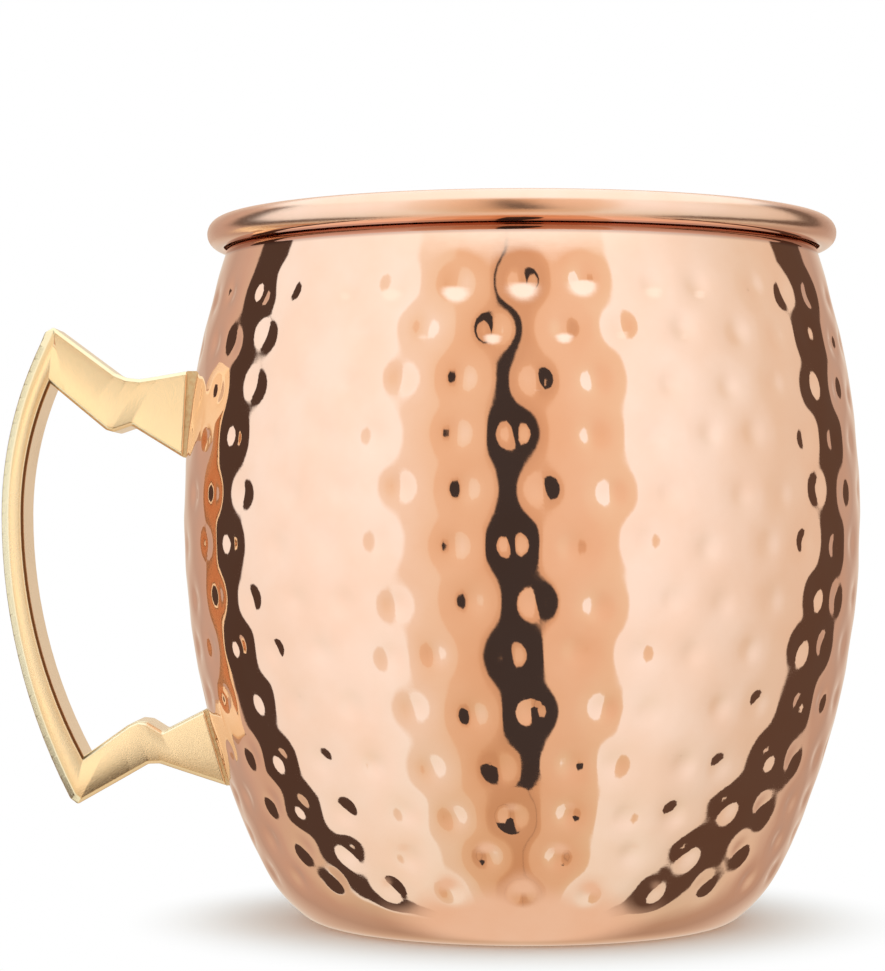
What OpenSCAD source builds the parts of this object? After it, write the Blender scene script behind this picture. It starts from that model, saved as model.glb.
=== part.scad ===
// Barrel-shaped sheet-metal mug with a rolled rim, a thin lining and a cast handle
// brazed on at two tabs. The origin is the centre of the flat base, +Z is up, and
// the handle stands out along -X.

/* [Mug body] */
// Height from the flat base to the crest of the rolled rim
mug_h = 100; // [85:1:120]
// Outside radius at the belly, the widest place
belly_r = 48.3; // [41:0.1:58]
// Height of the belly above the base
belly_z = 57.6; // [48:0.1:69]
// Radius of the long curve of the side above the belly
upper_curve_r = 122; // [102:1:146]
// Radius of the long curve of the side below the belly
lower_curve_r = 115; // [96:1:138]
// Radius of the shoulder where the side turns in towards the base
shoulder_r = 21.5; // [18:0.5:26]
// Slope of the side where the shoulder meets the foot, from upright
shoulder_end_deg = 51.5; // [45:0.5:60]
// Radius of the foot corner round the flat base
foot_r = 5.5; // [4:0.5:7]
// Thickness of the metal sheet
sheet_t = 0.7; // [0.5:0.05:1.2]

/* [Rolled rim] */
// Outside radius of the rolled edge's round section
curl_r = 2.1; // [1.7:0.05:2.6]
// How far the roll turns under past its outermost point
curl_under_deg = 100; // [80:1:104]

/* [Lining] */
// Thickness of the lining
lining_t = 0.2; // [0.15:0.05:0.5]
// Depth of the lining's edge below the crest of the rim
lining_drop = 4.2; // [3:0.1:8]

/* [Handle] */
// Height of the middle of the grip above the base
grip_z = 58; // [54:0.5:62]
// How far the grip's outer side stands out from the belly
grip_reach = 26.1; // [22:0.1:32]
// Thickness of the grip, front to back of the curve
grip_t = 3.3; // [2.8:0.1:4.2]
// Width of the whole handle, from face to face
handle_w = 9.5; // [8:0.5:12]
// Height of the top corner above the grip's middle
top_rise = 26.7; // [24:0.1:30]
// Depth of the bottom corner below the grip's middle
bottom_drop = 41.4; // [38:0.1:45]
// Radius of the grip's outer side above its middle
grip_upper_r = 56.5; // [50:0.5:68]
// Radius of the grip's outer side below its middle
grip_lower_r = 88; // [74:0.5:105]
// Radius of the grip's inner side above its middle
hollow_upper_r = 47; // [42:0.5:54]
// Radius of the grip's inner side below its middle
hollow_lower_r = 73; // [62:0.5:88]
// Height of the upper tab's lower corner above the grip's middle
upper_tab_rise = 8.1; // [6.5:0.1:10]
// Height of the upper tab where it meets the mug
upper_tab_h = 12.3; // [10:0.1:15]
// Depth of the lower tab's lower corner below the grip's middle
lower_tab_drop = 38.7; // [34:0.1:42]
// Height of the lower tab where it meets the mug
lower_tab_h = 10.7; // [8.9:0.1:12.9]
// Width of the bevel along the grip's outer side
grip_bevel = 1.1; // [0.6:0.1:1.4]
// Width of the small bevel along every other edge
edge_bevel = 0.45; // [0.2:0.05:0.7]

/* [Brazed joints] */
// Least gap that the brazing metal fills between a tab and the mug
braze_gap = 0.3; // [0.2:0.05:0.6]
// Extra gap at the top of the upper tab, whose end is cut nearly upright
braze_wedge = 0.85; // [0:0.05:1.3]
// How far the brazing metal stops short of each face of the handle
braze_inset = 0.3; // [0:0.05:0.8]

/* [Hidden] */
$fn = 180;
// Steps in the round stretches of the outlines
foot_steps = 8;
side_steps = 10;
edge_steps = 2;
curl_steps = 30;
arc_steps = 14;

// The side of the mug is four arcs that run smoothly into each other.
// Each centre is [radius from the axis, height].
lower_end_deg = asin((belly_z - shoulder_r * sin(shoulder_end_deg)
    - foot_r * (1 - sin(shoulder_end_deg))) / (lower_curve_r - shoulder_r));
upper_c = [belly_r - upper_curve_r, belly_z];
lower_c = [belly_r - lower_curve_r, belly_z];
shoulder_c = lower_c + (lower_curve_r - shoulder_r) * [cos(lower_end_deg), -sin(lower_end_deg)];
foot_c = shoulder_c + (shoulder_r - foot_r) * [cos(shoulder_end_deg), -sin(shoulder_end_deg)];
base_r = foot_c.x;

// The rolled edge is a round hollow roll that the side runs into without a kink.
curl_z = mug_h - curl_r;
curl_lean_deg = asin((curl_z - belly_z) / (upper_curve_r + curl_r - sheet_t));
curl_c = upper_c + (upper_curve_r + curl_r - sheet_t) * [cos(curl_lean_deg), sin(curl_lean_deg)];

// Outside radius of the mug at height z, below the rolled rim
lower_end_z = belly_z - lower_curve_r * sin(lower_end_deg);
function side_r(z) =
    z >= belly_z ? upper_c.x + sqrt(pow(upper_curve_r, 2) - pow(z - belly_z, 2)) :
    z >= lower_end_z ? lower_c.x + sqrt(pow(lower_curve_r, 2) - pow(belly_z - z, 2)) :
    shoulder_c.x + sqrt(pow(shoulder_r, 2) - pow(shoulder_c.y - z, 2));

// Ends of the two tabs, each a gap away from the side of the mug
upper_tab_z = grip_z + upper_tab_rise;
lower_tab_z = grip_z - lower_tab_drop;
upper_tab_low = [-side_r(upper_tab_z) - braze_gap, upper_tab_z];
upper_tab_top = [-side_r(upper_tab_z + upper_tab_h) - braze_gap - braze_wedge,
    upper_tab_z + upper_tab_h];
lower_tab_low = [-side_r(lower_tab_z) - braze_gap, lower_tab_z];
lower_tab_top = [-side_r(lower_tab_z + lower_tab_h) - braze_gap, lower_tab_z + lower_tab_h];

// The grip's sides are arcs that stand upright at its middle.
grip_x = -belly_r - grip_reach;
hollow_x = grip_x + grip_t;
// Heights above and below the grip's middle where its inner side meets the arms
hollow_rise = 18.6;
hollow_drop = 34.6;
// Width and height taken off each outer corner to leave it blunt
corner_cut = [1.2, 0.7];

// Points down a side of the grip that stands at x = side, with one radius above its
// middle and another below
function grip_side(side, upper_r, rise, lower_r, drop) = concat(
    [for (i = [arc_steps:-1:0]) let (h = rise * i / arc_steps)
        [side + upper_r - sqrt(upper_r * upper_r - h * h), grip_z + h]],
    [for (i = [1:arc_steps]) let (h = drop * i / arc_steps)
        [side + lower_r - sqrt(lower_r * lower_r - h * h), grip_z - h]]);

grip_outer = grip_side(grip_x, grip_upper_r, top_rise - corner_cut.y,
    grip_lower_r, bottom_drop - corner_cut.y);
grip_inner = grip_side(hollow_x, hollow_upper_r, hollow_rise, hollow_lower_r, hollow_drop);
hollow_top = grip_inner[0];
hollow_bottom = grip_inner[len(grip_inner) - 1];
top_corner = grip_outer[0] + corner_cut;
bottom_corner = grip_outer[len(grip_outer) - 1] + [corner_cut.x, -corner_cut.y];

// Bends of the two arms, each set out from the corner of the tab it starts at
over_upper_tab = [for (d = [[-4.6, -0.8], [-6.8, -1.15], [-8.7, -0.95], [-10.3, -0.3]])
    upper_tab_top + d];
under_upper_tab = [for (d = [[-7.3, 4.5], [-9.9, 3.6], [-11, 3.9]]) upper_tab_low + d];
over_lower_tab = [for (d = [[-5.9, -3], [-8.1, -1.65], [-9.5, -1.5], [-10.8, -2.1]])
    lower_tab_top + d];
under_lower_tab = [for (d = [[-6.8, 2.2], [-9.5, 3.1], [-11.1, 3.05], [-13.7, 1.55]])
    lower_tab_low + d];

// The straight inner edges of the arms get points of their own, so that each corner of
// the outer side has one on the inner side to pair with.
function along(a, b, shares) = [for (t = shares) a + (b - a) * t];
upper_arm_under = concat(under_upper_tab, along(under_upper_tab[2], hollow_top, [0.35, 0.8]));
lower_arm_over = concat(over_lower_tab, along(over_lower_tab[3], hollow_bottom, [0.5]));

function reversed(points) = [for (i = [len(points) - 1:-1:0]) points[i]];

// The outline runs anticlockwise as seen from -Y: out along the top of the upper arm,
// down the outer side and in along the underside of the lower arm to its tab, then
// back along the inside. Each stretch has the bevel that its edges take on both faces.
stretches = [
    [concat([upper_tab_top], over_upper_tab, [top_corner]), edge_bevel],
    [grip_outer, grip_bevel],
    [concat([bottom_corner], reversed(under_lower_tab)), edge_bevel],
    [[lower_tab_low], 0],
    [concat([lower_tab_top], lower_arm_over, reversed(grip_inner), reversed(upper_arm_under)),
        edge_bevel],
    [[upper_tab_low], 0]
];
outline = [for (s = stretches) each s[0]];
bevels = [for (s = stretches) each [for (p = s[0]) s[1]]];
corners = len(outline);

// Outward direction of the edge that starts at corner i
function edge_out(i) =
    let (d = outline[(i + 1) % corners] - outline[i]) [d.y, -d.x] / norm(d);
// Corner i moved in by the bevels of the two edges that meet there
function inset_corner(i) =
    let (j = (i + corners - 1) % corners)
    let (m = edge_out(j), n = edge_out(i), turn = cross(m, n))
    abs(turn) < 0.01 ? outline[i] - n * (bevels[i] + bevels[j]) / 2 :
    outline[i] - [bevels[j] * n.y - bevels[i] * m.y, bevels[i] * m.x - bevels[j] * n.x] / turn;
// Depth of the bevel at corner i, measured in from the face of the handle
function bevel_depth(i) = max(edge_bevel, min(bevels[i], bevels[(i + corners - 1) % corners]));

// Points along an arc, from one direction to another
function arc_points(centre, r, from_deg, to_deg, steps) =
    [for (i = [0:steps])
        let (t = from_deg + (to_deg - from_deg) * i / steps) centre + r * [cos(t), sin(t)]];
// The same points without the first, where a stretch starts at the last one's end
function rest_of(points) = [for (i = [1:len(points) - 1]) points[i]];

// The flat base and the side, depth inside the outer surface, from the axis to top_deg
function side_points(depth, top_deg) = concat(
    [[0, depth]],
    arc_points(foot_c, foot_r - depth, -90, -shoulder_end_deg, foot_steps),
    rest_of(arc_points(shoulder_c, shoulder_r - depth,
        -shoulder_end_deg, -lower_end_deg, foot_steps)),
    rest_of(arc_points(lower_c, lower_curve_r - depth, -lower_end_deg, 0, side_steps)),
    rest_of(arc_points(upper_c, upper_curve_r - depth, 0, top_deg, side_steps)));

// Everything inside the outer surface, up to just below the rolled rim
module mug_fill() {
    top_deg = asin((mug_h - 2 * curl_r - belly_z) / upper_curve_r);
    outer = side_points(0, top_deg);
    rotate_extrude($fn = 360) polygon(concat(outer, [[0, outer[len(outer) - 1].y]]));
}

// Slope of the side at the lining's edge
edge_deg = asin((mug_h - lining_drop - belly_z) / (upper_curve_r - sheet_t));
// The sheet's inner side, which has the lining's own steps up to the lining's edge, so
// that the two surfaces lie exactly on each other
function inside_points() = concat(
    side_points(sheet_t, min(edge_deg, curl_lean_deg)),
    edge_deg >= curl_lean_deg ? [] :
    rest_of(arc_points(upper_c, upper_curve_r - sheet_t, edge_deg, curl_lean_deg, edge_steps)));

// The roll's hollow side continues the outer surface, and its outside the inner one.
module mug_body() {
    roll_start = 180 + curl_lean_deg;
    hollow_side = arc_points(curl_c, curl_r - sheet_t, roll_start, -curl_under_deg, curl_steps);
    roll_side = arc_points(curl_c, curl_r, -curl_under_deg, roll_start, curl_steps);
    color("peru") rotate_extrude() polygon(concat(
        side_points(0, curl_lean_deg), rest_of(hollow_side),
        roll_side, rest_of(reversed(inside_points()))));
}

module inner_lining() {
    color("lightgray") rotate_extrude() polygon(concat(
        side_points(sheet_t, edge_deg), reversed(side_points(sheet_t + lining_t, edge_deg))));
}

// The bar's faces are strips between its outer corners and the inner ones they pair with.
// Four rings of corners run round it: the front face, its full outline, and both at the back.
module handle() {
    half = handle_w / 2;
    inset = [for (i = [0:corners - 1]) inset_corner(i)];
    rings = [
        [for (p = inset) [p.x, -half, p.y]],
        [for (i = [0:corners - 1]) [outline[i].x, bevel_depth(i) - half, outline[i].y]],
        [for (i = [0:corners - 1]) [outline[i].x, half - bevel_depth(i), outline[i].y]],
        [for (p = inset) [p.x, half, p.y]]
    ];
    sides = [for (k = [0:2], i = [0:corners - 1])
        let (a = k * corners + i, b = k * corners + (i + 1) % corners)
        each [[a, b, a + corners], [b, b + corners, a + corners]]];
    front = [for (i = [0:corners / 2 - 2])
        let (j = corners - 1 - i) each [[i, j, i + 1], [i + 1, j, j - 1]]];
    back = [for (f = front) reversed([for (i = f) i + 3 * corners])];
    color("goldenrod")
        polyhedron(points = [for (r = rings) each r], faces = concat(front, sides, back));
}

// Brazing metal between the flat end of a tab and the round side of the mug
module braze_seam(low, top) {
    into_mug = [4, 0];
    color("darkgoldenrod") difference() {
        translate([0, handle_w / 2 - braze_inset, 0]) rotate([90, 0, 0])
            linear_extrude(height = handle_w - 2 * braze_inset)
            polygon([low, low + into_mug, top + into_mug, top]);
        mug_fill();
    }
}

module upper_braze_seam() braze_seam(upper_tab_low, upper_tab_top);

module lower_braze_seam() braze_seam(lower_tab_low, lower_tab_top);

mug_body();
inner_lining();
handle();
upper_braze_seam();
lower_braze_seam();
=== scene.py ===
"""Looks of a hammered copper mug with a rolled rim, a thin lining and a cast brass handle."""
import logging
import math
from dataclasses import dataclass
from enum import Enum
from typing import Iterable, Sequence

import bpy
import numpy as np
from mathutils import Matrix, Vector


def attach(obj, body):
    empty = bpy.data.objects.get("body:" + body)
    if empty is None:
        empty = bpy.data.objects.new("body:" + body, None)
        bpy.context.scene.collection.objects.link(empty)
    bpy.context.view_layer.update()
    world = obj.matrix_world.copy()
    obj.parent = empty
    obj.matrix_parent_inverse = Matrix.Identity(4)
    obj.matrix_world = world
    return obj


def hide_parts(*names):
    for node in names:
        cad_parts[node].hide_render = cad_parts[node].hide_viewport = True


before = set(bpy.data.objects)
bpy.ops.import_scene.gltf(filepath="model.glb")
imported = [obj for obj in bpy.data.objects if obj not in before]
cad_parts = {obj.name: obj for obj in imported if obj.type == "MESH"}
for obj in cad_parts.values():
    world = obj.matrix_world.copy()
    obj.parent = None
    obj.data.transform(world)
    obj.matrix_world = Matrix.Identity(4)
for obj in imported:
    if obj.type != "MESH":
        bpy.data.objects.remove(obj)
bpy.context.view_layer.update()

LOG = logging.getLogger("copper_mug")
MM = 0.001
# Mesh attribute that marks where the handle gets a painted shade line that stands for a dark reflection
PAINTED_SHADE = "painted_shade"
BODY = "root"

Color = tuple[float, float, float]
Pair = tuple[float, float]


class Slot(Enum):
    """The record's material slots."""

    COPPER = "copper"
    LINING = "lining"
    BRASS = "handle_brass"
    BRAZE = "braze_metal"


class Ease(Enum):
    """How a ramp runs from one stop to the next."""

    STRAIGHT = "LINEAR"
    SOFT = "EASE"


# ---------------------------------------------------------------------------
# Node graphs
# ---------------------------------------------------------------------------


@dataclass(frozen=True)
class Relief:
    """A fine relief: its cells per millimetre, its height in millimetres and its strength."""

    per_mm: float
    depth_mm: float
    strength: float


@dataclass
class Graph:
    """A small builder for one node tree."""

    tree: bpy.types.NodeTree

    def add(self, kind: str, **settings: object) -> bpy.types.Node:
        """Adds a node.

        Args:
            kind: The node's type name.
            settings: Node properties to set, by name.

        Returns:
            The new node.
        """
        node = self.tree.nodes.new(kind)
        for name, value in settings.items():
            setattr(node, name, value)
        return node

    def feed(self, socket: bpy.types.NodeSocket, value: object) -> None:
        """Links a socket to another node's output, or sets it to a constant.

        Args:
            socket: The input socket.
            value: An output socket, a number or a tuple.
        """
        if isinstance(value, bpy.types.NodeSocket):
            self.tree.links.new(value, socket)
        else:
            socket.default_value = value

    def math(self, operation: str, *values: object) -> bpy.types.NodeSocket:
        """Adds a Math node.

        Args:
            operation: The Math node's operation.
            values: Its inputs, as sockets or numbers.

        Returns:
            The node's output socket.
        """
        node = self.add("ShaderNodeMath", operation=operation)
        for socket, value in zip(node.inputs, values):
            self.feed(socket, value)
        return node.outputs[0]

    def spread(self, value: object, low: Pair, high: Pair) -> bpy.types.NodeSocket:
        """Maps a value smoothly and without overshoot from one range to another.

        Args:
            value: The socket or number to map.
            low: An input value and the result there.
            high: Another input value and the result there.

        Returns:
            The mapped value's socket.
        """
        node = self.add("ShaderNodeMapRange", interpolation_type="SMOOTHSTEP")
        for socket, item in zip(node.inputs, (value, low[0], high[0], low[1], high[1])):
            self.feed(socket, item)
        return node.outputs["Result"]

    def ramp(self, value: object, stops: Sequence[tuple[float, Color]],
             ease: Ease = Ease.STRAIGHT) -> bpy.types.NodeSocket:
        """Adds a colour ramp.

        Args:
            value: What drives the ramp, from 0 to 1.
            stops: Positions and colours in rising order.
            ease: How it runs between them.

        Returns:
            The ramp's colour socket.
        """
        node = self.add("ShaderNodeValToRGB")
        node.color_ramp.interpolation = ease.value
        elements = node.color_ramp.elements
        while len(elements) < len(stops):
            elements.new(0.5)
        for element, (place, _) in zip(elements, stops):
            element.position = place
        for element, (_, color) in zip(elements, stops):
            element.color = (*color, 1.0)
        self.feed(node.inputs["Fac"], value)
        return node.outputs["Color"]

    def mix(self, share: object, first: object, second: object,
            blend: str = "MIX") -> bpy.types.NodeSocket:
        """Mixes two colours.

        Args:
            share: How much of the second is taken.
            first: The first colour or socket.
            second: The second colour or socket.
            blend: The Mix node's blend type.

        Returns:
            The mixed colour's socket.
        """
        node = self.add("ShaderNodeMix", data_type="RGBA", blend_type=blend)
        self.feed(node.inputs["Factor"], share)
        for socket, value in zip((node.inputs["A"], node.inputs["B"]), (first, second)):
            color_sockets = [s for s in node.inputs if s.name == socket.name and s.type == "RGBA"]
            if isinstance(value, tuple):
                value = (*value, 1.0)
            self.feed(color_sockets[0], value)
        return [s for s in node.outputs if s.type == "RGBA"][0]

    def noise(self, where: object, per_mm: float, detail: float = 2.0,
              roughness: float = 0.5) -> bpy.types.NodeSocket:
        """Adds a noise texture.

        Args:
            where: The coordinate socket, in metres.
            per_mm: Cells per millimetre.
            detail: Octaves of finer noise.
            roughness: Weight of each finer octave.

        Returns:
            The noise value's socket.
        """
        node = self.add("ShaderNodeTexNoise")
        self.feed(node.inputs["Vector"], where)
        self.feed(node.inputs["Scale"], per_mm / MM)
        self.feed(node.inputs["Detail"], detail)
        self.feed(node.inputs["Roughness"], roughness)
        return node.outputs["Fac"]

    def scaled(self, where: object, scale: Color) -> bpy.types.NodeSocket:
        """Stretches a coordinate.

        Args:
            where: The coordinate socket.
            scale: Factor along each axis.

        Returns:
            The stretched coordinate's socket.
        """
        node = self.add("ShaderNodeMapping")
        self.feed(node.inputs["Vector"], where)
        self.feed(node.inputs["Scale"], scale)
        return node.outputs["Vector"]

    def bump(self, height: object, relief: Relief, under: object = None) -> bpy.types.NodeSocket:
        """Adds a bump.

        Args:
            height: The height socket, from 0 to 1.
            relief: Its height and strength.
            under: A coarser bump's normal to add this one to.

        Returns:
            The bumped normal's socket.
        """
        node = self.add("ShaderNodeBump")
        self.feed(node.inputs["Strength"], relief.strength)
        self.feed(node.inputs["Distance"], relief.depth_mm * MM)
        self.feed(node.inputs["Height"], height)
        if under is not None:
            self.feed(node.inputs["Normal"], under)
        return node.outputs["Normal"]


def metal(name: str) -> tuple[bpy.types.Material, Graph, bpy.types.Node, bpy.types.NodeSocket]:
    """Starts a metal material.

    Args:
        name: The material's name.

    Returns:
        The material, its graph, its shader node and the object coordinate.
    """
    material = bpy.data.materials.new(name)
    material.use_nodes = True
    graph = Graph(material.node_tree)
    shader = material.node_tree.nodes["Principled BSDF"]
    shader.inputs["Metallic"].default_value = 1.0
    return material, graph, shader, graph.add("ShaderNodeTexCoord").outputs["Object"]


# ---------------------------------------------------------------------------
# Finishes
# ---------------------------------------------------------------------------


@dataclass(frozen=True)
class PolishedCopper:
    """Bright copper, polished after hammering."""

    bright: Color = (0.955, 0.615, 0.47)
    warm: Color = (0.94, 0.575, 0.42)
    # Colour of the painted shade and painted reflection of the dark gap under the roll, laid on the neck
    painted_shade: Color = (0.60, 0.35, 0.27)
    polish: Pair = (0.02, 0.06)
    haze_mm: float = 9.0
    # Heights, soft edge and strength of the painted shade and reflection on the neck
    neck_z: Pair = (94.2 * MM, 96.1 * MM)
    neck_edge: float = 0.5 * MM
    neck_share: float = 0.9
    rim_haze: float = 0.2
    hairline_stretch: Color = (1.0, 1.0, 7.0)
    hairline: Relief = Relief(0.9, 0.004, 0.25)
    waves: Relief = Relief(0.28, 0.02, 0.5)

    def make(self) -> bpy.types.Material:
        """Builds the material: two copper tones, hairlines, painted shade and painted reflection on the
        neck under the roll, and a handled rim.
        """
        material, graph, shader, where = metal("polished_copper")
        patches = graph.noise(where, 1.0 / self.haze_mm, detail=3.0)
        tone = graph.ramp(patches, [(0.35, self.warm), (0.65, self.bright)])
        # Painted shade and painted reflection: a dark band on the neck under the roll, set by height
        height = graph.add("ShaderNodeSeparateXYZ")
        graph.feed(height.inputs[0], where)
        low, high = self.neck_z
        level = height.outputs["Z"]
        above = graph.spread(level, (low, 0.0), (low + self.neck_edge, self.neck_share))
        below = graph.spread(level, (high - self.neck_edge, 1.0), (high, 0.0))
        shade = graph.mix(graph.math("MULTIPLY", above, below), tone, self.painted_shade)
        graph.feed(shader.inputs["Base Color"], shade)
        hairlines = graph.noise(graph.scaled(where, self.hairline_stretch), self.hairline.per_mm,
                                detail=6.0, roughness=0.7)
        wiped = graph.spread(hairlines, (0.3, self.polish[0]), (0.75, self.polish[1]))
        handled = graph.spread(level, (high, 0.0), (high + self.neck_edge, self.rim_haze))
        graph.feed(shader.inputs["Roughness"], graph.math("ADD", wiped, handled))
        ripple = graph.bump(graph.noise(where, self.waves.per_mm, detail=2.0), self.waves)
        graph.feed(shader.inputs["Normal"], graph.bump(hairlines, self.hairline, under=ripple))
        return material


@dataclass(frozen=True)
class SatinLining:
    """Pale satin metal with faint spinning lines."""

    pale: Color = (0.74, 0.73, 0.70)
    grey: Color = (0.60, 0.59, 0.57)
    satin: Pair = (0.24, 0.36)
    clouds_per_mm: float = 0.09
    ring_stretch: Color = (0.06, 0.06, 6.0)
    ring_lines: Relief = Relief(1.1, 0.01, 0.35)

    def make(self) -> bpy.types.Material:
        """Builds the material: pale metal with rings of fine lines round the axis."""
        material, graph, shader, where = metal("satin_lining")
        rings = graph.noise(graph.scaled(where, self.ring_stretch), self.ring_lines.per_mm,
                            detail=4.0, roughness=0.65)
        clouds = graph.noise(where, self.clouds_per_mm, detail=3.0)
        graph.feed(shader.inputs["Base Color"],
                   graph.ramp(clouds, [(0.3, self.grey), (0.7, self.pale)]))
        graph.feed(shader.inputs["Roughness"],
                   graph.spread(rings, (0.3, self.satin[0]), (0.7, self.satin[1])))
        graph.feed(shader.inputs["Normal"], graph.bump(rings, self.ring_lines))
        return material


@dataclass(frozen=True)
class CastBrass:
    """Yellow brass, belt-finished to a fine grain and then buffed."""

    light: Color = (0.95, 0.77, 0.52)
    deep: Color = (0.93, 0.71, 0.44)
    buffed: Pair = (0.2, 0.3)
    patches_per_mm: float = 0.07
    grain: Relief = Relief(5.0, 0.016, 0.7)
    grain_share: float = 0.25
    waves: Relief = Relief(0.16, 0.05, 0.25)
    # Colour of the painted shade line that stands for a dark reflection beside the grip's hollow-side
    # bevels
    painted_line_color: Color = (0.16, 0.08, 0.03)

    def make(self) -> bpy.types.Material:
        """Builds the material: warm brass with a soft grain, and a painted shade line that stands for a
        dark reflection where the mesh marks it.
        """
        material, graph, shader, where = metal("cast_brass")
        patches = graph.noise(where, self.patches_per_mm, detail=2.0)
        grain = graph.noise(where, self.grain.per_mm, detail=3.0, roughness=0.6)
        drift = graph.mix(self.grain_share, patches, grain)
        brass = graph.ramp(drift, [(0.3, self.deep), (0.62, self.light)], Ease.SOFT)
        # Painted shade: the marked rings get a dark line that stands for a reflection
        painted_shade = graph.add("ShaderNodeAttribute")
        painted_shade.attribute_name = PAINTED_SHADE
        graph.feed(shader.inputs["Base Color"], graph.mix(painted_shade.outputs["Fac"], brass, self.painted_line_color))
        graph.feed(shader.inputs["Roughness"],
                   graph.spread(drift, (0.3, self.buffed[0]), (0.7, self.buffed[1])))
        waves = graph.bump(graph.noise(where, self.waves.per_mm, detail=2.0), self.waves)
        graph.feed(shader.inputs["Normal"], graph.bump(grain, self.grain, under=waves))
        return material


@dataclass(frozen=True)
class BrazeMetal:
    """Filler metal at the joints, mottled and rougher than the brass."""

    light: Color = (0.96, 0.80, 0.52)
    dark: Color = (0.88, 0.66, 0.38)
    rough: Pair = (0.6, 0.45)
    ripples: Relief = Relief(1.6, 0.06, 0.6)

    def make(self) -> bpy.types.Material:
        """Builds the material: filler with a fine wavy surface and darker hollows."""
        material, graph, shader, where = metal("braze_metal")
        ripple = graph.noise(where, self.ripples.per_mm, detail=4.0)
        graph.feed(shader.inputs["Base Color"],
                   graph.ramp(ripple, [(0.35, self.dark), (0.6, self.light)]))
        graph.feed(shader.inputs["Roughness"],
                   graph.spread(ripple, (0.3, self.rough[0]), (0.7, self.rough[1])))
        graph.feed(shader.inputs["Normal"], graph.bump(ripple, self.ripples))
        return material


# ---------------------------------------------------------------------------
# Meshes
# ---------------------------------------------------------------------------


def mesh_piece(name: str, points: np.ndarray, faces: Iterable[Sequence[int]],
               material: bpy.types.Material, replaces: str) -> bpy.types.Object:
    """Makes a smooth-shaded piece that stands for a CAD node.

    Args:
        name: The piece's name.
        points: Corners in metres, one row each.
        faces: Corner numbers of each face.
        material: Its finish.
        replaces: The CAD node that it stands for.

    Returns:
        The new object.
    """
    mesh = bpy.data.meshes.new(name)
    mesh.from_pydata(points.tolist(), [], [list(map(int, f)) for f in faces])
    mesh.validate()
    mesh.shade_smooth()
    mesh.materials.append(material)
    piece = bpy.data.objects.new(name, mesh)
    bpy.context.scene.collection.objects.link(piece)
    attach(piece, BODY)
    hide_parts(replaces)
    LOG.info("%s: %d corners, %d faces", name, len(mesh.vertices), len(mesh.polygons))
    return piece


@dataclass
class Curve:
    """Points of a turned outline: radius, height, outward normal and distance along it."""

    radius: np.ndarray
    height: np.ndarray
    out_r: np.ndarray
    out_z: np.ndarray
    along: np.ndarray

    def plus(self, other: "Curve") -> "Curve":
        """Joins another curve to the end of this one."""
        pairs = zip(self.columns(), other.columns())
        return Curve(*(np.concatenate(pair) for pair in pairs))

    def columns(self) -> tuple[np.ndarray, ...]:
        """Gives the five columns in order."""
        return self.radius, self.height, self.out_r, self.out_z, self.along

    def backwards(self) -> "Curve":
        """Gives the same points in the other order."""
        return Curve(*(column[::-1] for column in self.columns()))


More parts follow.
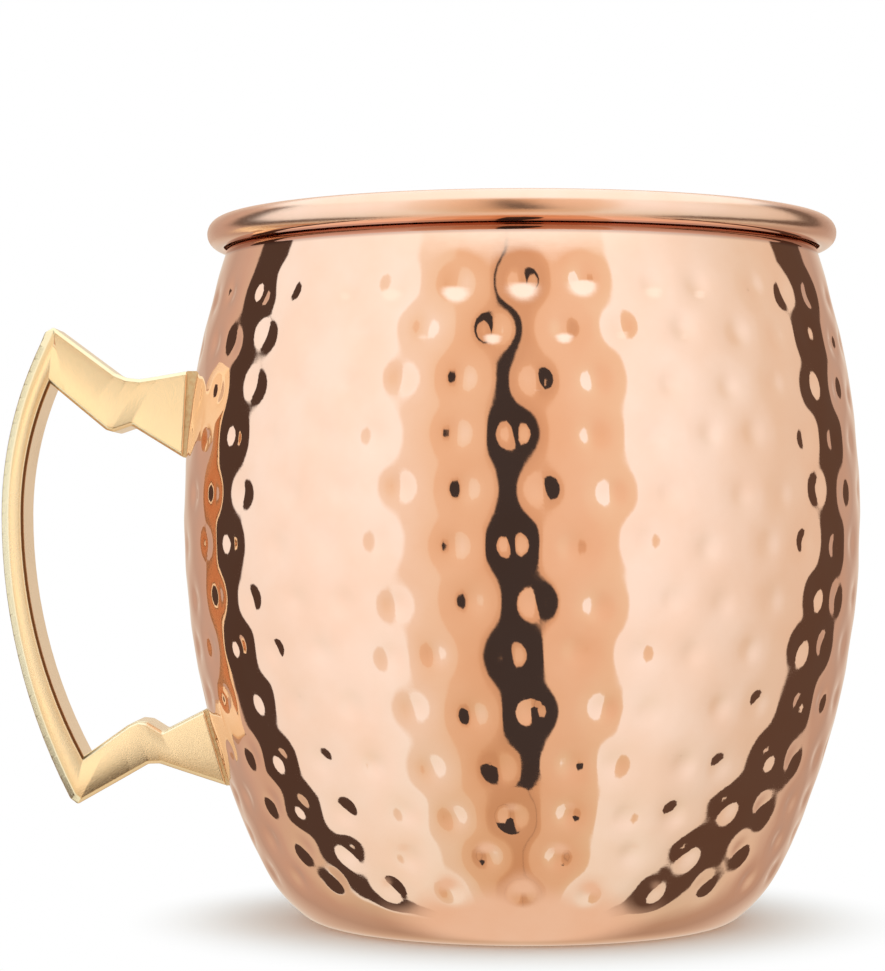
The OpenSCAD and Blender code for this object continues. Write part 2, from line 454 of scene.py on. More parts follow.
@dataclass
class SideProfile:
    """The mug's side as four arcs that run into each other, and the roll at its top."""

    height: float = 100.0 * MM
    belly_r: float = 48.3 * MM
    belly_z: float = 57.6 * MM
    upper_r: float = 122.0 * MM
    lower_r: float = 115.0 * MM
    shoulder_r: float = 21.5 * MM
    shoulder_end: float = math.radians(51.5)
    foot_r: float = 5.5 * MM
    sheet: float = 0.7 * MM
    curl_r: float = 2.1 * MM
    curl_under: float = math.radians(100.0)

    def __post_init__(self) -> None:
        """Works out the arcs' centres and the angles where they meet."""
        rise = self.belly_z - self.shoulder_r * math.sin(self.shoulder_end)
        rise -= self.foot_r * (1.0 - math.sin(self.shoulder_end))
        self.lower_end = math.asin(rise / (self.lower_r - self.shoulder_r))
        self.upper_c = np.array([self.belly_r - self.upper_r, self.belly_z])
        self.lower_c = np.array([self.belly_r - self.lower_r, self.belly_z])
        self.shoulder_c = self.lower_c + (self.lower_r - self.shoulder_r) * self.toward(-self.lower_end)
        self.foot_c = self.shoulder_c + (self.shoulder_r - self.foot_r) * self.toward(-self.shoulder_end)
        reach = self.upper_r + self.curl_r - self.sheet
        self.lean = math.asin((self.height - self.curl_r - self.belly_z) / reach)
        self.curl_c = self.upper_c + reach * self.toward(self.lean)

    @staticmethod
    def toward(angle: float) -> np.ndarray:
        """Gives the unit direction at an angle above the horizontal."""
        return np.array([math.cos(angle), math.sin(angle)])

    @staticmethod
    def arc(centre: np.ndarray, radius: float, start: float, end: float, steps: int,
            along: float, true_radius: float) -> Curve:
        """Walks an arc, leaving out its first point.

        Args:
            centre: Its centre, as radius and height.
            radius: Its radius.
            start: Angle at which it starts.
            end: Angle at which it ends.
            steps: Number of points.
            along: Distance along the outline at its start.
            true_radius: Radius by which the distance along it is measured.

        Returns:
            The arc's points.
        """
        angle = np.linspace(start, end, steps + 1)[1:]
        cos, sin = np.cos(angle), np.sin(angle)
        return Curve(centre[0] + radius * cos, centre[1] + radius * sin, cos, sin,
                     along + true_radius * np.abs(angle - start))

    def side(self, depth: float, top: float, step: float) -> Curve:
        """Walks the base and the side from near the axis up to an angle on the upper arc.

        Args:
            depth: Distance inside the outer surface.
            top: Angle on the upper arc at which to stop.
            step: Distance between points.

        Returns:
            The points, with distances measured along the outer surface.
        """
        base_r = self.foot_c[0]
        flat = max(3, round(base_r / step / 4))
        radius = np.linspace(0.0, base_r, flat + 1)[1:]
        curve = Curve(radius, np.full(flat, depth), np.zeros(flat), -np.ones(flat), radius.copy())
        stretches = [
            (self.foot_c, self.foot_r, -math.pi / 2, -self.shoulder_end),
            (self.shoulder_c, self.shoulder_r, -self.shoulder_end, -self.lower_end),
            (self.lower_c, self.lower_r, -self.lower_end, 0.0),
            (self.upper_c, self.upper_r, 0.0, top),
        ]
        for centre, radius, start, end in stretches:
            steps = max(4, round(radius * abs(end - start) / step))
            curve = curve.plus(self.arc(centre, radius - depth, start, end, steps,
                                        curve.along[-1], radius))
        return curve

    def roll(self, hollow_steps: int, outer_steps: int) -> Curve:
        """Walks the rolled edge: its hollow side, then back over its outside.

        Args:
            hollow_steps: Points on the hollow side.
            outer_steps: Points on the outside.

        Returns:
            The roll's points.
        """
        start = math.pi + self.lean
        hollow = self.arc(self.curl_c, self.curl_r - self.sheet, start, -self.curl_under,
                          hollow_steps, 0.0, self.curl_r)
        hollow.out_r, hollow.out_z = -hollow.out_r, -hollow.out_z
        lip_angle = -self.curl_under
        lip_mid = self.curl_c + (self.curl_r - self.sheet / 2) * self.toward(lip_angle)
        tangent = self.toward(lip_angle - math.pi / 2)
        lip = Curve(np.array([lip_mid[0]]) + tangent[0] * self.sheet / 4,
                    np.array([lip_mid[1]]) + tangent[1] * self.sheet / 4,
                    tangent[:1], tangent[1:], np.zeros(1))
        outer = self.arc(self.curl_c, self.curl_r, lip_angle - 1e-4, start, outer_steps,
                         0.0, self.curl_r)
        return hollow.plus(lip).plus(outer)

    def edge_angle(self, height: float, depth: float) -> float:
        """Gives the angle on the upper arc at a height, some depth inside it."""
        return math.asin((height - self.belly_z) / (self.upper_r - depth))


@dataclass
class HammerMarks:
    """Rows of shallow round dents, struck by hand at a nearly constant spacing."""

    profile: SideProfile
    # Height of each row and the direction of its dent nearest the front, in mm and degrees
    rows: Sequence[Pair] = (
        (87.9, 0.3), (81.6, -4.5), (74.8, 2.5), (68.0, -1.0), (60.9, 3.4), (53.8, -1.3),
        (46.4, 2.4), (39.7, -1.8), (32.3, 1.9), (24.9, -3.8), (18.5, -1.6), (13.0, 7.0),
        (7.9, 0.3),
    )
    per_row: int = 34
    per_low_row: int = 26
    low_row_z: float = 15.0 * MM
    basin_r: float = 4.4 * MM
    basin_depth: float = 0.15 * MM
    pit_r: float = 2.3 * MM
    pit_depth: float = 0.2 * MM
    round_jitter: float = math.radians(1.7)
    height_jitter: float = 0.55 * MM
    front_lift: float = 0.2
    size_jitter: float = 0.1
    force_jitter: float = 0.25
    flat_half_width: float = 7.4 * MM
    flat_heights: Sequence[Pair] = ((64.0 * MM, 80.5 * MM), (17.0 * MM, 32.0 * MM))
    seed: int = 7

    def dents(self) -> np.ndarray:
        """Lists the dents: direction, distance along the side, radius of turn, size and force."""
        rng = np.random.default_rng(self.seed)
        outer = self.profile.side(0.0, self.profile.lean, 0.2 * MM)
        keep = outer.out_r > 0.3
        heights, alongs, radii = outer.height[keep], outer.along[keep], outer.radius[keep]
        found = []
        for row_mm, front_deg in self.rows:
            row_z = row_mm * MM
            count = self.per_row if row_z > self.low_row_z else self.per_low_row
            for k in range(count):
                turn, lift, size, force = rng.uniform(-1.0, 1.0, 4)
                place = math.radians(front_deg) + 2.0 * math.pi * k / count
                if k:
                    place += self.round_jitter * turn
                z = row_z + self.height_jitter * lift * (1.0 if k else self.front_lift)
                if self.under_tab(place, z, float(np.interp(z, heights, radii))):
                    continue
                found.append((place, np.interp(z, heights, alongs), np.interp(z, heights, radii),
                              1.0 + self.size_jitter * size, 1.0 + self.force_jitter * force))
        return np.array(found)

    def under_tab(self, place: float, z: float, turn_r: float) -> bool:
        """Tells whether a dent would lie under a tab of the handle, which stands on -X."""
        across = abs(turn_r * math.cos(place))
        behind = math.sin(place) < 0.0
        in_height = any(low < z < high for low, high in self.flat_heights)
        return behind and in_height and across < self.flat_half_width

    def depths(self, curve: Curve, turns: np.ndarray) -> np.ndarray:
        """Works out how deep the surface is struck at each point of a turned grid.

        Args:
            curve: The outline, with distances along the side.
            turns: Directions of the columns, 0 at the front and growing towards +X.

        Returns:
            Depth for each outline point (rows) and direction (columns).
        """
        depth = np.zeros((len(curve.along), len(turns)))
        for place, along, turn_r, size, force in self.dents():
            reach = self.basin_r * size
            rows = np.nonzero(np.abs(curve.along - along) < reach)[0]
            gap = (turns - place + math.pi) % (2.0 * math.pi) - math.pi
            columns = np.nonzero(np.abs(gap) * turn_r < reach)[0]
            if not len(rows) or not len(columns):
                continue
            up = curve.along[rows][:, None] - along
            across = gap[columns][None, :] * turn_r
            away = up * up + across * across
            basin = np.clip(1.0 - away / reach ** 2, 0.0, 1.0) ** 2
            pit = np.clip(1.0 - away / (self.pit_r * size) ** 2, 0.0, 1.0) ** 2
            depth[np.ix_(rows, columns)] += self.basin_depth * basin + self.pit_depth * force * pit
        return depth


def directions(columns: int) -> np.ndarray:
    """Gives the directions of a turned grid's columns, from the front towards +X."""
    return np.linspace(0.0, 2.0 * math.pi, columns, endpoint=False)


def turned(bands: Sequence[tuple[Curve, np.ndarray]], poles: Pair
           ) -> tuple[np.ndarray, list[tuple[int, ...]]]:
    """Turns an outline about the axis into a closed skin with a pole at each end.

    Args:
        bands: Stretches of the outline, each with how far its points are pushed in against
            their normals, by row and column. Column counts divide into each other.
        poles: Height of the point on the axis at the outline's start and at its end.

    Returns:
        The corners and the faces.
    """
    rings: list[np.ndarray] = []
    points: list[np.ndarray] = []
    count = 0
    for curve, sunk in bands:
        turns = directions(sunk.shape[1])
        radius = curve.radius[:, None] - curve.out_r[:, None] * sunk
        height = curve.height[:, None] - curve.out_z[:, None] * sunk
        grid = np.stack([radius * np.sin(turns), -radius * np.cos(turns), height], axis=2)
        points.append(grid.reshape(-1, 3))
        rings += list(count + np.arange(sunk.size).reshape(sunk.shape))
        count += sunk.size
    faces: list[tuple[int, ...]] = []
    for low, high in zip(rings, rings[1:]):
        coarse, fine = (low, high) if len(low) <= len(high) else (high, low)
        ratio = len(fine) // len(coarse)
        spans = [np.roll(fine, -k)[::ratio] for k in range(ratio + 1)]
        columns = [coarse, *spans, np.roll(coarse, -1)]
        if coarse is low:
            columns = columns[::-1]
        faces += list(zip(*columns))
    start, end = count, count + 1
    faces += [(start, b, a) for a, b in zip(rings[0], np.roll(rings[0], -1))]
    faces += [(end, a, b) for a, b in zip(rings[-1], np.roll(rings[-1], -1))]
    ends = np.array([[0.0, 0.0, poles[0]], [0.0, 0.0, poles[1]]])
    return np.vstack([*points, ends]), faces


# ---------------------------------------------------------------------------
# The mug's pieces
# ---------------------------------------------------------------------------


@dataclass
class MugBody:
    """The hammered copper sheet with its rolled edge."""

    profile: SideProfile
    marks: HammerMarks
    columns: int = 480
    plain_columns: int = 160
    outer_step: float = 0.64 * MM
    inner_step: float = 5.0 * MM
    hollow_steps: int = 10
    roll_steps: int = 36

    def build(self) -> bpy.types.Object:
        """Builds the sheet: struck outside, rolled edge and plain inner wall."""
        shape = self.profile
        outer = shape.side(0.0, shape.lean, self.outer_step)
        inner = shape.side(shape.sheet, shape.lean, self.inner_step).backwards()
        inner.out_r, inner.out_z = -inner.out_r, -inner.out_z
        inner = Curve(*(column[1:] for column in inner.columns()))
        plain = shape.roll(self.hollow_steps, self.roll_steps).plus(inner)
        struck = self.marks.depths(outer, directions(self.columns))
        smooth = np.zeros((len(plain.radius), self.plain_columns))
        points, faces = turned([(outer, struck), (plain, smooth)], (0.0, shape.sheet))
        return mesh_piece("copper_body", points, faces, PolishedCopper().make(),
                          "mug_body")


@dataclass
class InnerLining:
    """The thin lining, with the backs of the hammer marks standing out on it."""

    profile: SideProfile
    marks: HammerMarks
    columns: int = 420
    plain_columns: int = 140
    thickness: float = 0.2 * MM
    edge_drop: float = 4.2 * MM
    step: float = 0.8 * MM
    hidden_step: float = 5.0 * MM
    carried: float = 0.9

    def build(self) -> bpy.types.Object:
        """Builds the lining: a plain hidden side and an inner side with soft bumps."""
        shape = self.profile
        top = shape.edge_angle(shape.height - self.edge_drop, shape.sheet)
        hidden = shape.side(shape.sheet, top, self.hidden_step)
        seen = shape.side(shape.sheet + self.thickness, top, self.step).backwards()
        bumps = self.marks.depths(seen, directions(self.columns)) * self.carried
        flat = np.zeros((len(hidden.radius), self.plain_columns))
        points, faces = turned([(hidden, flat), (seen, bumps)],
                               (shape.sheet, shape.sheet + self.thickness))
        return mesh_piece("satin_lining", points, faces, SatinLining().make(),
                          "inner_lining")


@dataclass
class Handle:
    """The cast handle: a bowed grip and two angular arms that end in tabs."""

    profile: SideProfile
    grip_z: float = 58.0 * MM
    grip_reach: float = 26.1 * MM
    grip_t: float = 3.3 * MM
    width: float = 9.5 * MM
    top_rise: float = 26.7 * MM
    bottom_drop: float = 41.4 * MM
    grip_upper_r: float = 56.5 * MM
    grip_lower_r: float = 88.0 * MM
    hollow_upper_r: float = 47.0 * MM
    hollow_lower_r: float = 73.0 * MM
    hollow_rise: float = 18.6 * MM
    hollow_drop: float = 34.6 * MM
    upper_tab_rise: float = 8.1 * MM
    upper_tab_h: float = 12.3 * MM
    lower_tab_drop: float = 38.7 * MM
    lower_tab_h: float = 10.7 * MM
    grip_bevel: float = 1.1 * MM
    edge_bevel: float = 0.45 * MM
    gap: float = 0.3 * MM
    wedge: float = 0.85 * MM
    corner_cut: Pair = (1.2 * MM, 0.7 * MM)
    grip_steps: int = 14
    ease: float = 0.22 * MM
    face_ease: float = 0.12 * MM
    middle_share: float = 0.25
    face_weight: int = 80
    crown: float = 0.02
    strips: int = 6
    # The rings on either side of the bevels, counted from the front face to the back one, which carry a
    # painted shade line on the grip's hollow side that stands for a dark reflection
    painted_shade_rings: Sequence[int] = (2, 3, 8, 9)
    over_upper: Sequence[Pair] = ((-4.6, -0.8), (-6.8, -1.15), (-8.7, -0.95), (-10.3, -0.3))
    under_upper: Sequence[Pair] = ((-7.3, 4.5), (-9.9, 3.6), (-11.0, 3.9))
    over_lower: Sequence[Pair] = ((-5.9, -3.0), (-8.1, -1.65), (-9.5, -1.5), (-10.8, -2.1))
    under_lower: Sequence[Pair] = ((-6.8, 2.2), (-9.5, 3.1), (-11.1, 3.05), (-13.7, 1.55))

    def mug_side(self, z: float) -> float:
        """Gives the mug's outside radius at a height."""
        curve = self.profile.side(0.0, self.profile.lean, 0.1 * MM)
        return float(np.interp(z, curve.height, curve.radius))

    def grip(self, side: float, radii: Pair, rise: float, drop: float) -> list[np.ndarray]:
        """Walks down a side of the grip.

        Args:
            side: How far out it stands at its middle.
            radii: Its radius above and below its middle.
            rise: Height of its top above the middle.
            drop: Depth of its bottom below the middle.

        Returns:
            Its points from the top down.
        """
        shares = np.linspace(1.0, -1.0, 2 * self.grip_steps + 1)
        points = []
        for share in shares:
            radius, reach = (radii[0], rise) if share >= 0.0 else (radii[1], drop)
            h = reach * share
            points.append(np.array([side + radius - math.sqrt(radius ** 2 - h ** 2), self.grip_z + h]))
        return points

    def outline(self) -> tuple[np.ndarray, np.ndarray, np.ndarray]:
        """Lays out the side view of the handle.

        Returns:
            The corners in X and Z, the bevel of the edge after each, and whether each stands
            on the grip's hollow side.
        """
        upper_z = self.grip_z + self.upper_tab_rise
        lower_z = self.grip_z - self.lower_tab_drop
        upper_low = np.array([-self.mug_side(upper_z) - self.gap, upper_z])
        upper_top_z = upper_z + self.upper_tab_h
        upper_top = np.array([-self.mug_side(upper_top_z) - self.gap - self.wedge, upper_top_z])
        lower_low = np.array([-self.mug_side(lower_z) - self.gap, lower_z])
        lower_top_z = lower_z + self.lower_tab_h
        lower_top = np.array([-self.mug_side(lower_top_z) - self.gap, lower_top_z])
        grip_x = -self.profile.belly_r - self.grip_reach
        cut = np.array(self.corner_cut)
        outer = self.grip(grip_x, (self.grip_upper_r, self.grip_lower_r),
                          self.top_rise - cut[1], self.bottom_drop - cut[1])
        hollow = self.grip(grip_x + self.grip_t, (self.hollow_upper_r, self.hollow_lower_r),
                           self.hollow_rise, self.hollow_drop)

        def bends(corner: np.ndarray, steps: Sequence[Pair]) -> list[np.ndarray]:
            """Sets an arm's bends out from the corner of its tab."""
            return [corner + np.array(step) * MM for step in steps]

        def between(a: np.ndarray, b: np.ndarray, shares: Sequence[float]) -> list[np.ndarray]:
            """Gives points on the line from one corner to another."""
            return [a + (b - a) * share for share in shares]

        under_upper = bends(upper_low, self.under_upper)
        under_upper += between(under_upper[2], hollow[0], (0.35, 0.8))
        over_lower = bends(lower_top, self.over_lower)
        over_lower += between(over_lower[3], hollow[-1], (0.5,))
        stretches = [
            ([upper_top, *bends(upper_top, self.over_upper), outer[0] + cut], self.edge_bevel),
            (outer, self.grip_bevel),
            ([outer[-1] + cut * (1, -1), *bends(lower_low, self.under_lower)[::-1]], self.edge_bevel),
            ([lower_low], 0.0),
            ([lower_top, *over_lower, *hollow[::-1], *under_upper[::-1]], self.edge_bevel),
            ([upper_low], 0.0),
        ]
        corners = [point for points, _ in stretches for point in points]
        bevels = [bevel for points, bevel in stretches for _ in points]
        hollow_ids = {id(point) for point in hollow}
        in_hollow = [id(point) in hollow_ids for point in corners]
        return np.array(corners), np.array(bevels), np.array(in_hollow)

    @staticmethod
    def inset(corners: np.ndarray, widths: np.ndarray) -> np.ndarray:
        """Moves each corner in by the widths of the two edges that meet there.

        Args:
            corners: Corners of an outline, anticlockwise.
            widths: How far the edge after each corner moves in.

        Returns:
            The inset corners.
        """
        ahead = np.roll(corners, -1, axis=0) - corners
        ahead /= np.linalg.norm(ahead, axis=1)[:, None]
        out = np.stack([ahead[:, 1], -ahead[:, 0]], axis=1)
        before, width_before = np.roll(out, 1, axis=0), np.roll(widths, 1)
        turn = before[:, 0] * out[:, 1] - before[:, 1] * out[:, 0]
        straight = np.abs(turn) < 0.01
        safe = np.where(straight, 1.0, turn)
        x = (width_before * out[:, 1] - widths * before[:, 1]) / safe
        z = (widths * before[:, 0] - width_before * out[:, 0]) / safe
        step = np.stack([x, z], axis=1)
        plain = out * ((widths + width_before) / 2.0)[:, None]
        return corners - np.where(straight[:, None], plain, step)

    def eased(self, corners: np.ndarray) -> np.ndarray:
        """Rounds every corner of an outline a little, with three points for each.

        Args:
            corners: The outline's corners.

        Returns:
            Three points for each corner, in order.
        """
        after = np.roll(corners, -1, axis=0) - corners
        before = np.roll(corners, 1, axis=0) - corners

        def back(edge: np.ndarray) -> np.ndarray:
            """Steps from a corner along an edge by the easing, or less on a short edge."""
            length = np.linalg.norm(edge, axis=1)[:, None]
            return edge / length * np.minimum(self.ease, 0.3 * length)

        first, last = corners + back(before), corners + back(after)
        middle = 0.25 * first + 0.5 * corners + 0.25 * last
        return np.stack([first, middle, last], axis=1).reshape(-1, 2)

    def build(self) -> bpy.types.Object:
        """Builds the casting: eased edges, bevels and slightly crowned faces."""
        corners, bevels, in_hollow = self.outline()
        half = self.width / 2.0
        deep = np.maximum(self.edge_bevel, np.minimum(bevels, np.roll(bevels, 1)))
        deep = np.repeat(deep, 3)
        outer = self.eased(corners)
        inner = self.eased(self.inset(corners, bevels))
        face = self.eased(self.inset(corners, bevels + self.face_ease))
        slope = self.face_ease / deep
        eased_step = slope[:, None] * (inner - outer)
        soft = self.middle_share
        rows = [
            (outer, deep + self.face_ease),
            (outer + soft * eased_step, deep * (1.0 - soft * slope) + soft * self.face_ease),
            (outer + eased_step, deep * (1.0 - slope)),
            (outer + (1.0 - slope[:, None]) * (inner - outer), deep * slope),
            (inner + soft * (face - inner) - soft * eased_step, soft * deep * slope),
            (face, deep * 0.0),
        ]
        count = len(outer)
        front = [np.column_stack([p[:, 0], d - half, p[:, 1]]) for p, d in rows]
        back = [np.column_stack([p[:, 0], half - d, p[:, 1]]) for p, d in rows]
        rings = front[::-1] + back
        points = list(rings)
        faces: list[tuple[int, ...]] = []
        here = np.arange(count)
        after = (here + 1) % count
        for k in range(len(rings) - 1):
            a, b = k * count, (k + 1) * count
            faces += list(zip(a + here, a + after, b + after, b + here))
        base = len(rings) * count
        for side, ring in ((-1.0, 0), (1.0, len(rings) - 1)):
            new, cap = self.cap(face, side, ring * count, base)
            points.append(new)
            faces += cap
            base += len(new)
        piece = mesh_piece("cast_handle", np.vstack(points), faces, CastBrass().make(),
                           "handle")
        # Painted shade: the rings beside the bevels on the grip's hollow side are marked for a dark line
        # that stands for a reflection
        painted_shade = np.zeros(len(piece.data.vertices), dtype=np.float32)
        for ring in self.painted_shade_rings:
            painted_shade[ring * count:(ring + 1) * count] = np.repeat(in_hollow, 3)
        tone = piece.data.attributes.new(PAINTED_SHADE, "FLOAT", "POINT")
        tone.data.foreach_set("value", painted_shade)
        weighted = piece.modifiers.new("weighted_normals", "WEIGHTED_NORMAL")
        weighted.mode = "FACE_AREA"
        weighted.weight = self.face_weight
        weighted.keep_sharp = False
        return piece

    def cap(self, face: np.ndarray, side: float, ring: int, base: int
            ) -> tuple[np.ndarray, list[tuple[int, ...]]]:
        """Closes a face with strips from its outer to its inner side, slightly crowned.

        Args:
            face: The face's edge points, of which the first pairs with the last.
            side: -1 for the front face and 1 for the back one.
            ring: Number of the face's first edge point in the mesh.
            base: Number that the first new point gets in the mesh.

        Returns:
            The new points and the faces.
        """
        count = len(face)
        pairs = count // 2
        shares = np.arange(1, self.strips) / self.strips
        a, b = face[:pairs], face[::-1][:pairs]
        across = np.linalg.norm(b - a, axis=1)
        rows = a[:, None] + (b - a)[:, None] * shares[None, :, None]
        lift = self.crown * across[:, None] * (4.0 * shares * (1.0 - shares))[None, :]
        y = side * (self.width / 2.0 + lift)
        new = np.stack([rows[..., 0], y, rows[..., 1]], axis=2).reshape(-1, 3)
        inner = self.strips - 1

        def number(pair: int, step: int) -> int:
            """Gives the mesh number of a point on the strip between a pair."""
            if step == 0:
                return ring + pair
            if step == self.strips:
                return ring + count - 1 - pair
            return base + pair * inner + step - 1

        faces = []
        for pair in range(pairs - 1):
            for step in range(self.strips):
                quad = (number(pair, step), number(pair, step + 1),
                        number(pair + 1, step + 1), number(pair + 1, step))
                faces.append(quad if side < 0 else quad[::-1])
        return new, faces


@dataclass
class BrazedSeams:
    """The filler metal at the two tabs, whose CAD shape is kept."""

    nodes: Sequence[str] = ("upper_braze_seam", "lower_braze_seam")

    def build(self) -> list[bpy.types.Object]:
        """Gives both seams their finish."""
        material = BrazeMetal().make()
        seams = [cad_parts[name] for name in self.nodes]
        for seam in seams:
            seam.data.materials.clear()
            seam.data.materials.append(material)
            LOG.info("%s: CAD shape, brazed finish", seam.name)
        return seams


# ---------------------------------------------------------------------------
# The studio
# ---------------------------------------------------------------------------


@dataclass
class Flag:
    """A dark upright card in the studio, whose place and width change with height."""

    centre: Sequence[Pair]
    half_width: Sequence[Pair]
    shade: Color
    edge: float = 0.7


@dataclass
class Studio:
    """Soft boxes, dark cards, floor, backdrop and camera."""

    camera_at: Color = (0.0, -426.8 * MM, 56.0 * MM)
    camera_aim: Color = (-11.3 * MM, 0.0, 62.1 * MM)
    lens_mm: float = 110.0
    clip_start: float = 10.0 * MM
    floor_half: float = 2.0
    # Light round the horizon by direction in degrees, 0 in front of the mug and + to its right
    round_light: Sequence[tuple[float, Color]] = (
        (-180, (0.86, 0.76, 0.64)), (-163, (0.74, 0.63, 0.52)), (-146, (0.57, 0.45, 0.37)),
        (-131, (0.66, 0.52, 0.43)), (-110, (0.80, 0.72, 0.58)), (-108.6, (1.04, 1.17, 1.20)),
        (-60, (1.13, 1.24, 1.28)), (-42.6, (1.12, 1.28, 1.34)), (-41.8, (1.0, 1.0, 0.92)),
        (-26.4, (0.96, 0.88, 0.72)), (-25.6, (0.92, 0.76, 0.57)), (-12.8, (0.88, 0.69, 0.49)),
        (-12, (0.83, 0.62, 0.42)), (-8, (0.74, 0.52, 0.34)), (2, (0.74, 0.51, 0.33)),
        (7.8, (0.82, 0.59, 0.39)), (8.6, (0.92, 0.73, 0.54)), (20, (0.93, 0.76, 0.58)),
        (33.6, (0.95, 0.86, 0.68)), (34.4, (1.12, 1.26, 1.32)), (55, (1.08, 1.2, 1.24)),
        (80, (0.95, 1.02, 1.0)), (96, (0.87, 0.87, 0.78)), (116, (0.85, 0.81, 0.70)),
        (136, (0.60, 0.47, 0.38)), (148, (0.55, 0.43, 0.35)), (163, (0.76, 0.64, 0.53)),
        (180, (0.86, 0.76, 0.64)),
    )
    # Share of that light at each elevation in degrees
    fall_off: Sequence[tuple[float, Color]] = (
        (-80, (0.78, 0.78, 0.70)), (-48, (0.84, 0.84, 0.78)), (-27, (0.91, 0.91, 0.89)),
        (-4, (0.97, 0.97, 0.97)), (18, (1.0, 1.02, 1.03)), (40, (1.0, 1.01, 1.0)),
    )
    flags: Sequence[Flag] = (
        Flag([(-60, 1.5), (-35, 1.5), (0, -3.0), (30, -6.0)],
             [(-42, 0.0), (-38, 8.0), (-20, 8.0), (0, 6.2), (18, 4.5), (34, 0.8), (60, 0.0)],
             (0.055, 0.05, 0.05)),
        Flag([(-60, -94.0), (-45, -95.5), (-32, -102.0), (-21, -112.0), (-2, -118.5), (12, -115.5),
              (24, -113.5)],
             [(-70, 10.0), (-45, 11.0), (-30, 8.8), (0, 9.7), (12, 9.8), (24, 8.8), (60, 5.0)],
             (0.085, 0.06, 0.048)),
        Flag([(-60, 90.0), (-45, 91.5), (-33, 101.0), (-20, 115.5), (-2, 127.0), (24, 128.0)],
             [(-70, 11.0), (-45, 13.0), (-33, 10.4), (-20, 11.5), (0, 9.6), (24, 11.5), (60, 6.0)],
             (0.115, 0.078, 0.058)),
    )
    overhead: Color = (1.2, 1.4, 1.46)
    overhead_from: Pair = (34.0, 42.0)
    underneath: Color = (0.86, 0.77, 0.64)
    underneath_from: Pair = (-52.0, -70.0)
    backdrop: Color = (1.0, 1.0, 1.0)
    floor_tone: Pair = (0.9, 0.91)
    floor_clouds: float = 0.02
    floor_roughness: float = 0.9
    floor_specular: float = 0.1
    floor_fade: Pair = (34.0 * MM, 58.0 * MM)
    fill_at: Color = (-140.0 * MM, -500.0 * MM, 75.0 * MM)
    fill_size: Pair = (190.0 * MM, 300.0 * MM)
    fill_glow: float = 0.82
    fill_color: Color = (0.95, 0.95, 0.88)

    @staticmethod
    def share_of(degrees: float) -> float:
        """Gives an elevation's place on a ramp that runs from straight down to straight up."""
        return (degrees + 90.0) / 180.0

    def by_elevation(self, graph: Graph, rise: bpy.types.NodeSocket,
                     stops: Sequence[Pair]) -> bpy.types.NodeSocket:
        """Makes a value that follows the elevation.

        Args:
            graph: The world's graph.
            rise: The elevation's place on the ramp.
            stops: Elevations and the values there, in rising order.

        Returns:
            The value's socket.
        """
        values = [value for _, value in stops]
        low, high = min(values), max(values)
        reach = (high - low) or 1.0
        shades = [(self.share_of(deg), ((value - low) / reach,) * 3) for deg, value in stops]
        return graph.math("MULTIPLY_ADD", graph.ramp(rise, shades), reach, low)

    def light(self) -> None:
        """Lights the scene: soft boxes and cards for the metal, plain white for the camera."""
        world = bpy.data.worlds.new("studio")
        world.use_nodes = True
        bpy.context.scene.world = world
        graph = Graph(world.node_tree)
        world.node_tree.nodes.clear()
        parts = graph.add("ShaderNodeSeparateXYZ")
        graph.feed(parts.inputs[0], graph.add("ShaderNodeTexCoord").outputs["Generated"])
        x, y, z = parts.outputs
        turn = graph.math("ARCTAN2", x, graph.math("MULTIPLY", y, -1.0))
        azimuth = graph.math("DEGREES", turn)
        elevation = graph.math("DEGREES", graph.math("ARCSINE", z))
        share = graph.math("DIVIDE", graph.math("ADD", azimuth, 180.0), 360.0)
        stops = [((deg + 180.0) / 360.0, color) for deg, color in self.round_light]
        light = graph.ramp(share, stops)
        rise = graph.math("DIVIDE", graph.math("ADD", elevation, 90.0), 180.0)
        falls = [(self.share_of(deg), color) for deg, color in self.fall_off]
        light = graph.mix(1.0, light, graph.ramp(rise, falls), blend="MULTIPLY")
        for flag in self.flags:
            centre = self.by_elevation(graph, rise, flag.centre)
            away = graph.math("ABSOLUTE", graph.math("SUBTRACT", azimuth, centre))
            width = self.by_elevation(graph, rise, flag.half_width)
            past = graph.math("SUBTRACT", width, away)
            hidden = graph.spread(past, (-flag.edge, 0.0), (flag.edge, 1.0))
            light = graph.mix(hidden, light, flag.shade)
        above = graph.spread(elevation, (self.overhead_from[0], 0.0), (self.overhead_from[1], 1.0))
        light = graph.mix(above, light, self.overhead)
        below = graph.spread(graph.math("MULTIPLY", elevation, -1.0),
                             (-self.underneath_from[0], 0.0), (-self.underneath_from[1], 1.0))
        light = graph.mix(below, light, self.underneath)
        studio = graph.add("ShaderNodeBackground")
        graph.feed(studio.inputs["Color"], light)
        plain = graph.add("ShaderNodeBackground")
        graph.feed(plain.inputs["Color"], (*self.backdrop, 1.0))
        blend = graph.add("ShaderNodeMixShader")
        graph.feed(blend.inputs[0], graph.add("ShaderNodeLightPath").outputs["Is Camera Ray"])
        graph.feed(blend.inputs[1], studio.outputs[0])
        graph.feed(blend.inputs[2], plain.outputs[0])
        graph.feed(graph.add("ShaderNodeOutputWorld").inputs["Surface"], blend.outputs[0])

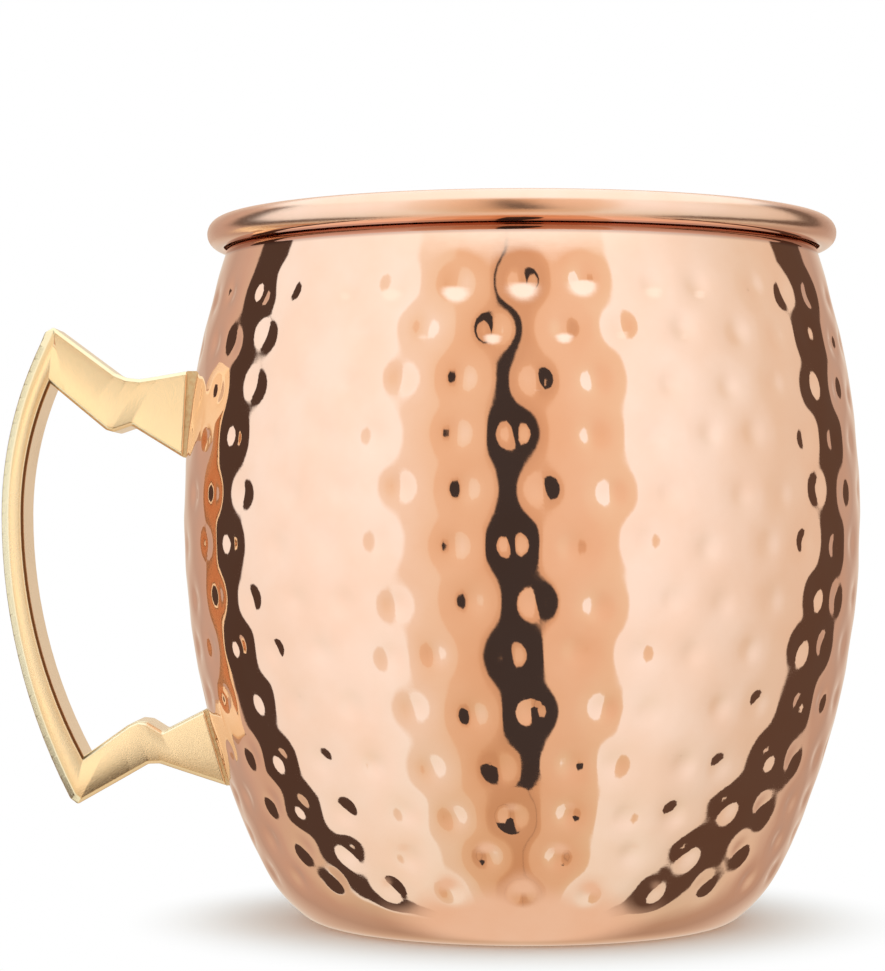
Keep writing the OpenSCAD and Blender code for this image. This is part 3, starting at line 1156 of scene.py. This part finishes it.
    def floor(self) -> bpy.types.Object:
        """Lays the pale floor, which the metal doesn't mirror."""
        half = self.floor_half
        mesh = bpy.data.meshes.new("floor")
        mesh.from_pydata([(-half, -half, 0), (half, -half, 0), (half, half, 0), (-half, half, 0)],
                         [], [(0, 1, 2, 3)])
        material = bpy.data.materials.new("pale_floor")
        material.use_nodes = True
        graph = Graph(material.node_tree)
        shader = material.node_tree.nodes["Principled BSDF"]
        shader.inputs["Roughness"].default_value = self.floor_roughness
        shader.inputs["Specular IOR Level"].default_value = self.floor_specular
        where = graph.add("ShaderNodeTexCoord").outputs["Object"]
        low, high = self.floor_tone
        tone = graph.spread(graph.noise(where, self.floor_clouds), (0.3, low), (0.7, high))
        graph.feed(shader.inputs["Base Color"], tone)
        length = graph.add("ShaderNodeVectorMath", operation="LENGTH")
        graph.feed(length.inputs[0], where)
        near, plain = self.floor_fade
        far = graph.spread(length.outputs["Value"], (near, 0.0), (plain, 1.0))
        white = graph.add("ShaderNodeEmission")
        graph.feed(white.inputs["Color"], (*self.backdrop, 1.0))
        blend = graph.add("ShaderNodeMixShader")
        graph.feed(blend.inputs[0], far)
        graph.feed(blend.inputs[1], shader.outputs[0])
        graph.feed(blend.inputs[2], white.outputs[0])
        graph.feed(material.node_tree.nodes["Material Output"].inputs["Surface"], blend.outputs[0])
        mesh.materials.append(material)
        floor = bpy.data.objects.new("floor", mesh)
        floor.visible_glossy = False
        bpy.context.scene.collection.objects.link(floor)
        return floor

    def fill(self, lit: bpy.types.Object) -> bpy.types.Object:
        """Hangs a soft box left of the camera, which only the handle's faces mirror.

        Args:
            lit: The piece that it lights.

        Returns:
            The soft box.
        """
        only = bpy.data.collections.new("handle_fill_lit")
        only.objects.link(lit)
        data = bpy.data.lights.new("handle_fill", "AREA")
        data.shape = "RECTANGLE"
        data.size, data.size_y = self.fill_size
        data.color = self.fill_color
        # An area light's radiance is its power over pi times its area.
        data.energy = self.fill_glow * math.pi * data.size * data.size_y
        light = bpy.data.objects.new("handle_fill", data)
        light.location = self.fill_at
        light.rotation_euler = (math.pi / 2, 0.0, 0.0)
        light.visible_camera = False
        light.light_linking.receiver_collection = only
        bpy.context.scene.collection.objects.link(light)
        return light

    def camera(self) -> bpy.types.Object:
        """Stands the camera in front of the mug, level with its belly."""
        data = bpy.data.cameras.new("camera")
        data.lens = self.lens_mm
        data.clip_start = self.clip_start
        camera = bpy.data.objects.new("camera", data)
        camera.location = self.camera_at
        aim = Vector(self.camera_aim) - Vector(self.camera_at)
        camera.rotation_mode = "QUATERNION"
        camera.rotation_quaternion = aim.to_track_quat("-Z", "Y")
        bpy.context.scene.collection.objects.link(camera)
        bpy.context.scene.camera = camera
        return camera

    def build(self) -> None:
        """Sets up the camera, the light and the floor."""
        self.camera()
        self.light()
        self.floor()
        bpy.context.scene.view_settings.view_transform = "Standard"
        LOG.info("studio: camera, light and floor")


def main() -> None:
    """Builds the studio and then the mug, piece by piece."""
    logging.basicConfig(level=logging.INFO, format="%(name)s: %(message)s")
    studio = Studio()
    studio.build()
    profile = SideProfile()
    marks = HammerMarks(profile)
    MugBody(profile, marks).build()
    InnerLining(profile, marks).build()
    studio.fill(Handle(profile).build())
    BrazedSeams().build()


if __name__ == "__main__":
    main()
